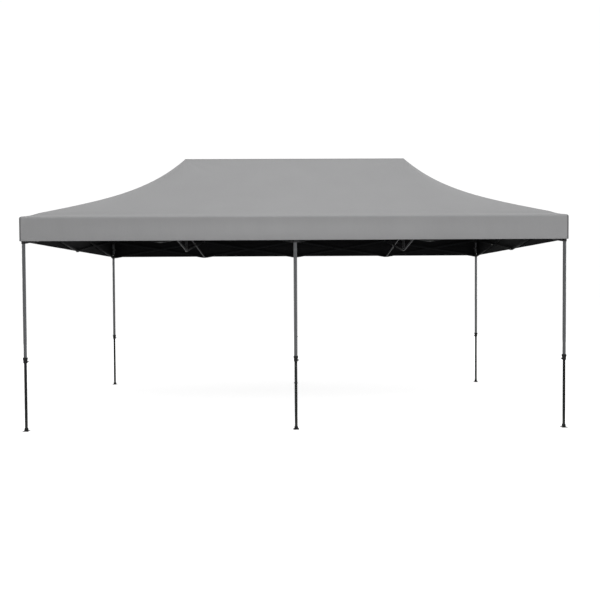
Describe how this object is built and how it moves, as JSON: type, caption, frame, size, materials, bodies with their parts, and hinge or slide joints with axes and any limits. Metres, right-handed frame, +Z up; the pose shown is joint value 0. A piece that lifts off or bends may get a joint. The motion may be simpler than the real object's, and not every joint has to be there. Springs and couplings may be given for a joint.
{
  "type": "pop-up marquee",
  "caption": "Pop-up marquee with a long two-peak grey cloth roof and straight valance on a folding scissor-truss frame with hexagonal legs and flat feet.",
  "frame": {"origin": "on the ground under the middle of the canopy", "axes": "+X along the length to the right seen from the front, -Y is the front, +Z up"},
  "size_m": [6.0034, 3.0138, 3.3182],
  "materials": {
    "roof_cloth": "coated woven polyester, satin",
    "valance_cloth": "coated woven polyester, satin",
    "leg_metal": "powder coated, fine hammertone",
    "bar_metal": "powder coated, fine hammertone",
    "mast_metal": "mill aluminium, satin",
    "bracket_black": "moulded glass-filled nylon, matte"
  },
  "bodies": {
    "leg_front_mid": {"leg_front_mid": "leg_metal", "canopy_roof": "roof_cloth", "canopy_valance": "valance_cloth"},
    "front_bar_2_up": {"front_bar_2_up": "bar_metal"},
    "lower_joint_front_left": {"lower_joint_front_left": "bracket_black"},
    "front_bar_1_down": {"front_bar_1_down": "bar_metal"},
    "leg_front_left": {"leg_front_left": "leg_metal"},
    "left_side_bar_1_down": {"left_side_bar_1_down": "bar_metal"},
    "left_side_bar_1_up": {"left_side_bar_1_up": "bar_metal"},
    "left_side_bar_2_up": {"left_side_bar_2_up": "bar_metal"},
    "left_side_bar_2_down": {"left_side_bar_2_down": "bar_metal"},
    "slider_rear_left": {"slider_rear_left": "bracket_black"},
    "leg_rear_left": {"leg_rear_left": "leg_metal"},
    "rear_bar_1_down": {"rear_bar_1_down": "bar_metal"},
    "rear_bar_1_up": {"rear_bar_1_up": "bar_metal"},
    "front_bar_1_up": {"front_bar_1_up": "bar_metal"},
    "slider_front_left": {"slider_front_left": "bracket_black"},
    "left_peak_bar_1_up": {"left_peak_bar_1_up": "bar_metal"},
    "left_peak_guide": {"left_peak_guide": "bracket_black"},
    "left_peak_bar_2_down": {"left_peak_bar_2_down": "bar_metal"},
    "lower_joint_rear_left": {"lower_joint_rear_left": "bracket_black"},
    "front_bar_2_down": {"front_bar_2_down": "bar_metal"},
    "upper_joint_front_left": {"upper_joint_front_left": "bracket_black"},
    "left_peak_bar_1_down": {"left_peak_bar_1_down": "bar_metal"},
    "left_peak_hub": {"left_peak_hub": "bracket_black", "left_mast": "mast_metal"},
    "left_peak_bar_2_up": {"left_peak_bar_2_up": "bar_metal"},
    "upper_joint_rear_left": {"upper_joint_rear_left": "bracket_black"},
    "rear_bar_2_down": {"rear_bar_2_down": "bar_metal"},
    "rear_bar_2_up": {"rear_bar_2_up": "bar_metal"},
    "leg_rear_mid": {"leg_rear_mid": "leg_metal"},
    "rear_bar_3_down": {"rear_bar_3_down": "bar_metal"},
    "rear_bar_3_up": {"rear_bar_3_up": "bar_metal"},
    "slider_rear_mid": {"slider_rear_mid": "bracket_black"},
    "slider_front_mid": {"slider_front_mid": "bracket_black"},
    "front_bar_3_down": {"front_bar_3_down": "bar_metal"},
    "front_bar_3_up": {"front_bar_3_up": "bar_metal"},
    "lower_joint_front_right": {"lower_joint_front_right": "bracket_black"},
    "front_bar_4_up": {"front_bar_4_up": "bar_metal"},
    "front_bar_4_down": {"front_bar_4_down": "bar_metal"},
    "slider_front_right": {"slider_front_right": "bracket_black"},
    "leg_front_right": {"leg_front_right": "leg_metal"},
    "right_side_bar_1_down": {"right_side_bar_1_down": "bar_metal"},
    "right_side_bar_1_up": {"right_side_bar_1_up": "bar_metal"},
    "right_side_bar_2_up": {"right_side_bar_2_up": "bar_metal"},
    "right_side_bar_2_down": {"right_side_bar_2_down": "bar_metal"},
    "slider_rear_right": {"slider_rear_right": "bracket_black"},
    "leg_rear_right": {"leg_rear_right": "leg_metal"},
    "rear_bar_4_up": {"rear_bar_4_up": "bar_metal"},
    "rear_bar_4_down": {"rear_bar_4_down": "bar_metal"},
    "upper_joint_rear_right": {"upper_joint_rear_right": "bracket_black"},
    "right_peak_bar_1_up": {"right_peak_bar_1_up": "bar_metal"},
    "right_peak_bar_1_down": {"right_peak_bar_1_down": "bar_metal"},
    "upper_joint_front_right": {"upper_joint_front_right": "bracket_black"},
    "right_peak_hub": {"right_peak_hub": "bracket_black", "right_mast": "mast_metal"},
    "right_peak_bar_2_up": {"right_peak_bar_2_up": "bar_metal"},
    "right_peak_bar_2_down": {"right_peak_bar_2_down": "bar_metal"},
    "lower_joint_rear_right": {"lower_joint_rear_right": "bracket_black"},
    "right_peak_guide": {"right_peak_guide": "bracket_black"}
  },
  "joints": [
    {"name": "front_bar_2_up_pivot", "type": "hinge", "parent": "leg_front_mid", "child": "front_bar_2_up", "pos_m": [-0.03986, -1.4749, 2.322], "axis": [0, 1, 0], "range_deg": [-77.5, 0]},
    {"name": "lower_joint_front_left_pivot", "type": "hinge", "parent": "front_bar_2_up", "child": "lower_joint_front_left", "pos_m": [-1.45686, -1.4749, 2.077], "axis": [0, 1, 0], "range_deg": [0, 77.5]},
    {"name": "front_bar_1_down_pivot", "type": "hinge", "parent": "lower_joint_front_left", "child": "front_bar_1_down", "pos_m": [-1.51286, -1.4749, 2.077], "axis": [0, 1, 0], "range_deg": [0, 77.5]},
    {"name": "leg_front_left_pivot", "type": "hinge", "parent": "front_bar_1_down", "child": "leg_front_left", "pos_m": [-2.92986, -1.4749, 2.322], "axis": [0, 1, 0], "range_deg": [-77.5, 0]},
    {"name": "left_side_bar_1_down_pivot", "type": "hinge", "parent": "leg_front_left", "child": "left_side_bar_1_down", "pos_m": [-2.96973, -1.417, 2.322], "axis": [1, 0, 0], "range_deg": [-77.5, 0]},
    {"name": "left_side_bar_1_up_pivot", "type": "hinge", "parent": "left_side_bar_1_down", "child": "left_side_bar_1_up", "pos_m": [-2.96973, -0.7085, 2.1995], "axis": [1, 0, 0], "range_deg": [0, 155]},
    {"name": "left_side_bar_2_up_pivot", "type": "hinge", "parent": "left_side_bar_1_down", "child": "left_side_bar_2_up", "pos_m": [-2.96973, 0, 2.077], "axis": [1, 0, 0], "range_deg": [0, 155]},
    {"name": "left_side_bar_2_down_pivot", "type": "hinge", "parent": "left_side_bar_2_up", "child": "left_side_bar_2_down", "pos_m": [-2.96973, 0.7085, 2.1995], "axis": [1, 0, 0], "range_deg": [-155, 0]},
    {"name": "slider_rear_left_pivot", "type": "hinge", "parent": "left_side_bar_2_down", "child": "slider_rear_left", "pos_m": [-2.96973, 1.417, 2.077], "axis": [1, 0, 0], "range_deg": [0, 77.5]},
    {"name": "leg_rear_left_pivot", "type": "hinge", "parent": "left_side_bar_2_up", "child": "leg_rear_left", "pos_m": [-2.96973, 1.417, 2.322], "axis": [1, 0, 0], "range_deg": [-77.5, 0]},
    {"name": "rear_bar_1_down_pivot", "type": "hinge", "parent": "leg_rear_left", "child": "rear_bar_1_down", "pos_m": [-2.92986, 1.4749, 2.322], "axis": [0, 1, 0], "range_deg": [0, 77.5]},
    {"name": "rear_bar_1_up_pivot", "type": "hinge", "parent": "rear_bar_1_down", "child": "rear_bar_1_up", "pos_m": [-2.22136, 1.4749, 2.1995], "axis": [0, 1, 0], "range_deg": [-155, 0]},
    {"name": "front_bar_1_up_pivot", "type": "hinge", "parent": "front_bar_1_down", "child": "front_bar_1_up", "pos_m": [-2.22136, -1.4749, 2.1995], "axis": [0, 1, 0], "range_deg": [-155, 0]},
    {"name": "slider_front_left_pivot", "type": "hinge", "parent": "front_bar_1_up", "child": "slider_front_left", "pos_m": [-2.92986, -1.4749, 2.077], "axis": [0, 1, 0], "range_deg": [0, 77.5]},
    {"name": "left_peak_bar_1_up_pivot", "type": "hinge", "parent": "lower_joint_front_left", "child": "left_peak_bar_1_up", "pos_m": [-1.48486, -1.4469, 2.077], "axis": [1, 0, 0], "range_deg": [0, 77.5]},
    {"name": "left_peak_guide_pivot", "type": "hinge", "parent": "left_peak_bar_1_up", "child": "left_peak_guide", "pos_m": [-1.48486, -0.0299, 2.322], "axis": [1, 0, 0], "range_deg": [-77.5, 0]},
    {"name": "left_peak_bar_2_down_pivot", "type": "hinge", "parent": "left_peak_guide", "child": "left_peak_bar_2_down", "pos_m": [-1.48486, 0.0299, 2.322], "axis": [1, 0, 0], "range_deg": [-77.5, 0]},
    {"name": "lower_joint_rear_left_pivot", "type": "hinge", "parent": "left_peak_bar_2_down", "child": "lower_joint_rear_left", "pos_m": [-1.48486, 1.4469, 2.077], "axis": [1, 0, 0], "range_deg": [0, 77.5]},
    {"name": "front_bar_2_down_pivot", "type": "hinge", "parent": "front_bar_2_up", "child": "front_bar_2_down", "pos_m": [-0.74836, -1.4749, 2.1995], "axis": [0, 1, 0], "range_deg": [0, 155]},
    {"name": "upper_joint_front_left_pivot", "type": "hinge", "parent": "front_bar_2_down", "child": "upper_joint_front_left", "pos_m": [-1.45686, -1.4749, 2.322], "axis": [0, 1, 0], "range_deg": [-77.5, 0]},
    {"name": "left_peak_bar_1_down_pivot", "type": "hinge", "parent": "upper_joint_front_left", "child": "left_peak_bar_1_down", "pos_m": [-1.48486, -1.4469, 2.322], "axis": [1, 0, 0], "range_deg": [-77.5, 0]},
    {"name": "left_peak_hub_pivot", "type": "hinge", "parent": "left_peak_bar_1_down", "child": "left_peak_hub", "pos_m": [-1.48486, -0.0299, 2.077], "axis": [1, 0, 0], "range_deg": [0, 77.5]},
    {"name": "left_peak_bar_2_up_pivot", "type": "hinge", "parent": "left_peak_hub", "child": "left_peak_bar_2_up", "pos_m": [-1.48486, 0.0299, 2.077], "axis": [1, 0, 0], "range_deg": [0, 77.5]},
    {"name": "upper_joint_rear_left_pivot", "type": "hinge", "parent": "left_peak_bar_2_up", "child": "upper_joint_rear_left", "pos_m": [-1.48486, 1.4469, 2.322], "axis": [1, 0, 0], "range_deg": [-77.5, 0]},
    {"name": "rear_bar_2_down_pivot", "type": "hinge", "parent": "upper_joint_rear_left", "child": "rear_bar_2_down", "pos_m": [-1.45686, 1.4749, 2.322], "axis": [0, 1, 0], "range_deg": [0, 77.5]},
    {"name": "rear_bar_2_up_pivot", "type": "hinge", "parent": "rear_bar_2_down", "child": "rear_bar_2_up", "pos_m": [-0.74836, 1.4749, 2.1995], "axis": [0, 1, 0], "range_deg": [-155, 0]},
    {"name": "leg_rear_mid_pivot", "type": "hinge", "parent": "rear_bar_2_up", "child": "leg_rear_mid", "pos_m": [-0.03986, 1.4749, 2.322], "axis": [0, 1, 0], "range_deg": [0, 77.5]},
    {"name": "rear_bar_3_down_pivot", "type": "hinge", "parent": "leg_rear_mid", "child": "rear_bar_3_down", "pos_m": [0.03986, 1.4749, 2.322], "axis": [0, 1, 0], "range_deg": [0, 77.5]},
    {"name": "rear_bar_3_up_pivot", "type": "hinge", "parent": "rear_bar_3_down", "child": "rear_bar_3_up", "pos_m": [0.74836, 1.4749, 2.1995], "axis": [0, 1, 0], "range_deg": [-155, 0]},
    {"name": "slider_rear_mid_pivot", "type": "hinge", "parent": "rear_bar_2_down", "child": "slider_rear_mid", "pos_m": [-0.03986, 1.4749, 2.077], "axis": [0, 1, 0], "range_deg": [-77.5, 0]},
    {"name": "slider_front_mid_pivot", "type": "hinge", "parent": "front_bar_2_down", "child": "slider_front_mid", "pos_m": [-0.03986, -1.4749, 2.077], "axis": [0, 1, 0], "range_deg": [-77.5, 0]},
    {"name": "fold", "type": "hinge", "parent": "leg_front_mid", "child": "front_bar_3_down", "pos_m": [0.03986, -1.4749, 2.322], "axis": [0, 1, 0], "range_deg": [0, 77.5]},
    {"name": "front_bar_3_up_pivot", "type": "hinge", "parent": "front_bar_3_down", "child": "front_bar_3_up", "pos_m": [0.74836, -1.4749, 2.1995], "axis": [0, 1, 0], "range_deg": [-155, 0]},
    {"name": "lower_joint_front_right_pivot", "type": "hinge", "parent": "front_bar_3_down", "child": "lower_joint_front_right", "pos_m": [1.45686, -1.4749, 2.077], "axis": [0, 1, 0], "range_deg": [-77.5, 0]},
    {"name": "front_bar_4_up_pivot", "type": "hinge", "parent": "lower_joint_front_right", "child": "front_bar_4_up", "pos_m": [1.51286, -1.4749, 2.077], "axis": [0, 1, 0], "range_deg": [-77.5, 0]},
    {"name": "front_bar_4_down_pivot", "type": "hinge", "parent": "front_bar_4_up", "child": "front_bar_4_down", "pos_m": [2.22136, -1.4749, 2.1995], "axis": [0, 1, 0], "range_deg": [0, 155]},
    {"name": "slider_front_right_pivot", "type": "hinge", "parent": "front_bar_4_down", "child": "slider_front_right", "pos_m": [2.92986, -1.4749, 2.077], "axis": [0, 1, 0], "range_deg": [-77.5, 0]},
    {"name": "leg_front_right_pivot", "type": "hinge", "parent": "front_bar_4_up", "child": "leg_front_right", "pos_m": [2.92986, -1.4749, 2.322], "axis": [0, 1, 0], "range_deg": [0, 77.5]},
    {"name": "right_side_bar_1_down_pivot", "type": "hinge", "parent": "leg_front_right", "child": "right_side_bar_1_down", "pos_m": [2.96973, -1.417, 2.322], "axis": [1, 0, 0], "range_deg": [-77.5, 0]},
    {"name": "right_side_bar_1_up_pivot", "type": "hinge", "parent": "right_side_bar_1_down", "child": "right_side_bar_1_up", "pos_m": [2.96973, -0.7085, 2.1995], "axis": [1, 0, 0], "range_deg": [0, 155]},
    {"name": "right_side_bar_2_up_pivot", "type": "hinge", "parent": "right_side_bar_1_down", "child": "right_side_bar_2_up", "pos_m": [2.96973, 0, 2.077], "axis": [1, 0, 0], "range_deg": [0, 155]},
    {"name": "right_side_bar_2_down_pivot", "type": "hinge", "parent": "right_side_bar_2_up", "child": "right_side_bar_2_down", "pos_m": [2.96973, 0.7085, 2.1995], "axis": [1, 0, 0], "range_deg": [-155, 0]},
    {"name": "slider_rear_right_pivot", "type": "hinge", "parent": "right_side_bar_2_down", "child": "slider_rear_right", "pos_m": [2.96973, 1.417, 2.077], "axis": [1, 0, 0], "range_deg": [0, 77.5]},
    {"name": "leg_rear_right_pivot", "type": "hinge", "parent": "right_side_bar_2_up", "child": "leg_rear_right", "pos_m": [2.96973, 1.417, 2.322], "axis": [1, 0, 0], "range_deg": [-77.5, 0]},
    {"name": "rear_bar_4_up_pivot", "type": "hinge", "parent": "leg_rear_right", "child": "rear_bar_4_up", "pos_m": [2.92986, 1.4749, 2.322], "axis": [0, 1, 0], "range_deg": [-77.5, 0]},
    {"name": "rear_bar_4_down_pivot", "type": "hinge", "parent": "rear_bar_4_up", "child": "rear_bar_4_down", "pos_m": [2.22136, 1.4749, 2.1995], "axis": [0, 1, 0], "range_deg": [0, 155]},
    {"name": "upper_joint_rear_right_pivot", "type": "hinge", "parent": "rear_bar_4_down", "child": "upper_joint_rear_right", "pos_m": [1.51286, 1.4749, 2.322], "axis": [0, 1, 0], "range_deg": [-77.5, 0]},
    {"name": "right_peak_bar_1_up_pivot", "type": "hinge", "parent": "lower_joint_front_right", "child": "right_peak_bar_1_up", "pos_m": [1.48486, -1.4469, 2.077], "axis": [1, 0, 0], "range_deg": [0, 77.5]},
    {"name": "right_peak_bar_1_down_pivot", "type": "hinge", "parent": "right_peak_bar_1_up", "child": "right_peak_bar_1_down", "pos_m": [1.48486, -0.7384, 2.1995], "axis": [1, 0, 0], "range_deg": [-155, 0]},
    {"name": "upper_joint_front_right_pivot", "type": "hinge", "parent": "right_peak_bar_1_down", "child": "upper_joint_front_right", "pos_m": [1.48486, -1.4469, 2.322], "axis": [1, 0, 0], "range_deg": [0, 77.5]},
    {"name": "right_peak_hub_pivot", "type": "hinge", "parent": "right_peak_bar_1_down", "child": "right_peak_hub", "pos_m": [1.48486, -0.0299, 2.077], "axis": [1, 0, 0], "range_deg": [0, 77.5]},
    {"name": "right_peak_bar_2_up_pivot", "type": "hinge", "parent": "right_peak_hub", "child": "right_peak_bar_2_up", "pos_m": [1.48486, 0.0299, 2.077], "axis": [1, 0, 0], "range_deg": [0, 77.5]},
    {"name": "right_peak_bar_2_down_pivot", "type": "hinge", "parent": "right_peak_bar_2_up", "child": "right_peak_bar_2_down", "pos_m": [1.48486, 0.7384, 2.1995], "axis": [1, 0, 0], "range_deg": [-155, 0]},
    {"name": "lower_joint_rear_right_pivot", "type": "hinge", "parent": "right_peak_bar_2_down", "child": "lower_joint_rear_right", "pos_m": [1.48486, 1.4469, 2.077], "axis": [1, 0, 0], "range_deg": [0, 77.5]},
    {"name": "right_peak_guide_pivot", "type": "hinge", "parent": "right_peak_bar_1_up", "child": "right_peak_guide", "pos_m": [1.48486, -0.0299, 2.322], "axis": [1, 0, 0], "range_deg": [-77.5, 0]}
  ],
  "couplings": [
    {"joint": "front_bar_2_up_pivot", "follows": "fold", "ratio": -1},
    {"joint": "lower_joint_front_left_pivot", "follows": "fold", "ratio": 1},
    {"joint": "front_bar_1_down_pivot", "follows": "fold", "ratio": 1},
    {"joint": "leg_front_left_pivot", "follows": "fold", "ratio": -1},
    {"joint": "left_side_bar_1_down_pivot", "follows": "fold", "ratio": -1},
    {"joint": "left_side_bar_1_up_pivot", "follows": "fold", "ratio": 2},
    {"joint": "left_side_bar_2_up_pivot", "follows": "fold", "ratio": 2},
    {"joint": "left_side_bar_2_down_pivot", "follows": "fold", "ratio": -2},
    {"joint": "slider_rear_left_pivot", "follows": "fold", "ratio": 1},
    {"joint": "leg_rear_left_pivot", "follows": "fold", "ratio": -1},
    {"joint": "rear_bar_1_down_pivot", "follows": "fold", "ratio": 1},
    {"joint": "rear_bar_1_up_pivot", "follows": "fold", "ratio": -2},
    {"joint": "front_bar_1_up_pivot", "follows": "fold", "ratio": -2},
    {"joint": "slider_front_left_pivot", "follows": "fold", "ratio": 1},
    {"joint": "left_peak_bar_1_up_pivot", "follows": "fold", "ratio": 1},
    {"joint": "left_peak_guide_pivot", "follows": "fold", "ratio": -1},
    {"joint": "left_peak_bar_2_down_pivot", "follows": "fold", "ratio": -1},
    {"joint": "lower_joint_rear_left_pivot", "follows": "fold", "ratio": 1},
    {"joint": "front_bar_2_down_pivot", "follows": "fold", "ratio": 2},
    {"joint": "upper_joint_front_left_pivot", "follows": "fold", "ratio": -1},
    {"joint": "left_peak_bar_1_down_pivot", "follows": "fold", "ratio": -1},
    {"joint": "left_peak_hub_pivot", "follows": "fold", "ratio": 1},
    {"joint": "left_peak_bar_2_up_pivot", "follows": "fold", "ratio": 1},
    {"joint": "upper_joint_rear_left_pivot", "follows": "fold", "ratio": -1},
    {"joint": "rear_bar_2_down_pivot", "follows": "fold", "ratio": 1},
    {"joint": "rear_bar_2_up_pivot", "follows": "fold", "ratio": -2},
    {"joint": "leg_rear_mid_pivot", "follows": "fold", "ratio": 1},
    {"joint": "rear_bar_3_down_pivot", "follows": "fold", "ratio": 1},
    {"joint": "rear_bar_3_up_pivot", "follows": "fold", "ratio": -2},
    {"joint": "slider_rear_mid_pivot", "follows": "fold", "ratio": -1},
    {"joint": "slider_front_mid_pivot", "follows": "fold", "ratio": -1},
    {"joint": "front_bar_3_up_pivot", "follows": "fold", "ratio": -2},
    {"joint": "lower_joint_front_right_pivot", "follows": "fold", "ratio": -1},
    {"joint": "front_bar_4_up_pivot", "follows": "fold", "ratio": -1},
    {"joint": "front_bar_4_down_pivot", "follows": "fold", "ratio": 2},
    {"joint": "slider_front_right_pivot", "follows": "fold", "ratio": -1},
    {"joint": "leg_front_right_pivot", "follows": "fold", "ratio": 1},
    {"joint": "right_side_bar_1_down_pivot", "follows": "fold", "ratio": -1},
    {"joint": "right_side_bar_1_up_pivot", "follows": "fold", "ratio": 2},
    {"joint": "right_side_bar_2_up_pivot", "follows": "fold", "ratio": 2},
    {"joint": "right_side_bar_2_down_pivot", "follows": "fold", "ratio": -2},
    {"joint": "slider_rear_right_pivot", "follows": "fold", "ratio": 1},
    {"joint": "leg_rear_right_pivot", "follows": "fold", "ratio": -1},
    {"joint": "rear_bar_4_up_pivot", "follows": "fold", "ratio": -1},
    {"joint": "rear_bar_4_down_pivot", "follows": "fold", "ratio": 2},
    {"joint": "upper_joint_rear_right_pivot", "follows": "fold", "ratio": -1},
    {"joint": "right_peak_bar_1_up_pivot", "follows": "fold", "ratio": 1},
    {"joint": "right_peak_bar_1_down_pivot", "follows": "fold", "ratio": -2},
    {"joint": "upper_joint_front_right_pivot", "follows": "fold", "ratio": 1},
    {"joint": "right_peak_hub_pivot", "follows": "fold", "ratio": 1},
    {"joint": "right_peak_bar_2_up_pivot", "follows": "fold", "ratio": 1},
    {"joint": "right_peak_bar_2_down_pivot", "follows": "fold", "ratio": -2},
    {"joint": "lower_joint_rear_right_pivot", "follows": "fold", "ratio": 1},
    {"joint": "right_peak_guide_pivot", "follows": "fold", "ratio": -1}
  ]
}
